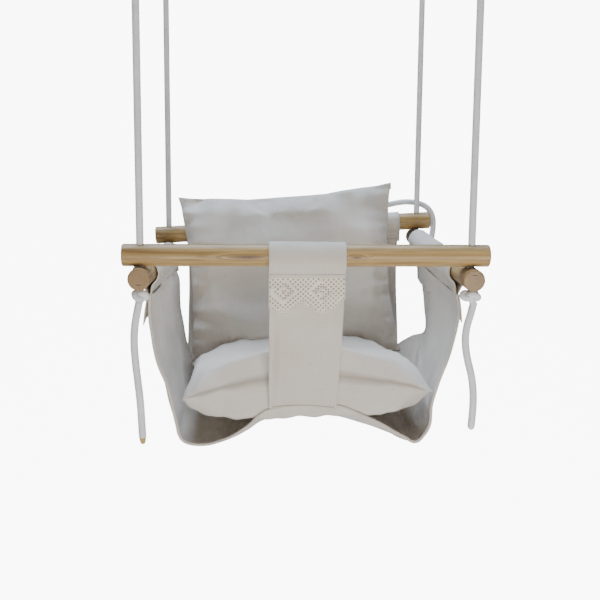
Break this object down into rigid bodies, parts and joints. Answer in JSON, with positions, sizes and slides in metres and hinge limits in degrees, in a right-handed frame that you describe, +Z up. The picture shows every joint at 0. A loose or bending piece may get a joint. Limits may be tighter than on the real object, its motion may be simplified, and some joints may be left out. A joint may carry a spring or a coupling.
{
  "type": "toddler bucket swing",
  "caption": "Hanging canvas toddler seat slung from a square of crossed wooden dowels on knotted ropes, with a strap between the legs and loose seat and back cushions.",
  "frame": {"origin": "middle of the four hanging rings, at the height of the front rings' centres", "axes": "+X to the right of a person who faces the swing, +Y from the front bar to the back bar, +Z up"},
  "size_m": [0.4303, 0.4242, 0.6808],
  "materials": {
    "wood": "varnished",
    "rope": "braided cotton",
    "twine": "waxed cotton twine",
    "steel": "zinc plated",
    "canvas": "natural cotton canvas",
    "filling": "loose polyester fibre",
    "lace": "crochet cotton"
  },
  "bodies": {
    "hang_rings": {"ring_front_left": "steel", "ring_front_right": "steel", "ring_rear_left": "steel", "ring_rear_right": "steel"},
    "rope_front_left": {"rope_eye_front_left": "rope", "eye_whipping_front_left": "twine", "rope_front_left": "rope"},
    "rope_front_right": {"rope_eye_front_right": "rope", "eye_whipping_front_right": "twine", "rope_front_right": "rope"},
    "rope_rear_left": {"rope_eye_rear_left": "rope", "eye_whipping_rear_left": "twine", "rope_rear_left": "rope"},
    "rope_rear_right": {"rope_eye_rear_right": "rope", "eye_whipping_rear_right": "twine", "rope_rear_right": "rope"},
    "seat_frame": {"front_bar": "wood", "back_bar": "wood", "left_bar": "wood", "right_bar": "wood", "stop_knot_front_left": "rope", "rope_tail_front_left": "rope", "stop_knot_front_right": "rope", "rope_tail_front_right": "rope", "stop_knot_rear_left": "rope", "rope_tail_rear_left": "rope", "stop_knot_rear_right": "rope", "rope_tail_rear_right": "rope", "left_sleeve": "canvas", "right_sleeve": "canvas", "back_sleeve": "canvas", "front_sleeve": "canvas", "seat_sling": "canvas", "back_panel": "canvas", "crotch_strap": "canvas", "lace_trim": "lace"},
    "seat_cushion": {"seat_cushion_cover": "canvas", "seat_cushion_filling": "filling"},
    "back_cushion": {"back_cushion_cover": "canvas", "back_cushion_filling": "filling"}
  },
  "joints": [
    {"name": "swing", "type": "hinge", "parent": "hang_rings", "child": "rope_front_left", "pos_m": [-0.185, -0.185, -0.022], "axis": [1, 0, 0], "range_deg": [-30, 30]},
    {"name": "seat_level", "type": "hinge", "parent": "rope_front_left", "child": "seat_frame", "pos_m": [-0.185, -0.185, -0.402], "axis": [1, 0, 0], "range_deg": [-30, 30]},
    {"name": "swing_front_right", "type": "hinge", "parent": "hang_rings", "child": "rope_front_right", "pos_m": [0.185, -0.185, -0.022], "axis": [1, 0, 0], "range_deg": [-30, 30]},
    {"name": "swing_rear_left", "type": "hinge", "parent": "hang_rings", "child": "rope_rear_left", "pos_m": [-0.185, 0.185, -0.033], "axis": [1, 0, 0], "range_deg": [-30, 30]},
    {"name": "swing_rear_right", "type": "hinge", "parent": "hang_rings", "child": "rope_rear_right", "pos_m": [0.185, 0.185, -0.011], "axis": [1, 0, 0], "range_deg": [-30, 30]},
    {"name": "seat_cushion_lift", "type": "slide", "parent": "seat_frame", "child": "seat_cushion", "axis": [0, -0.24, 0.9708], "range_m": [0, 0.15]},
    {"name": "back_cushion_lift", "type": "slide", "parent": "seat_frame", "child": "back_cushion", "axis": [0, -0.24, 0.9708], "range_m": [0, 0.15]}
  ],
  "couplings": [
    {"joint": "seat_level", "follows": "swing", "ratio": -1},
    {"joint": "swing_front_right", "follows": "swing", "ratio": 1},
    {"joint": "swing_rear_left", "follows": "swing", "ratio": 1},
    {"joint": "swing_rear_right", "follows": "swing", "ratio": 1}
  ]
}
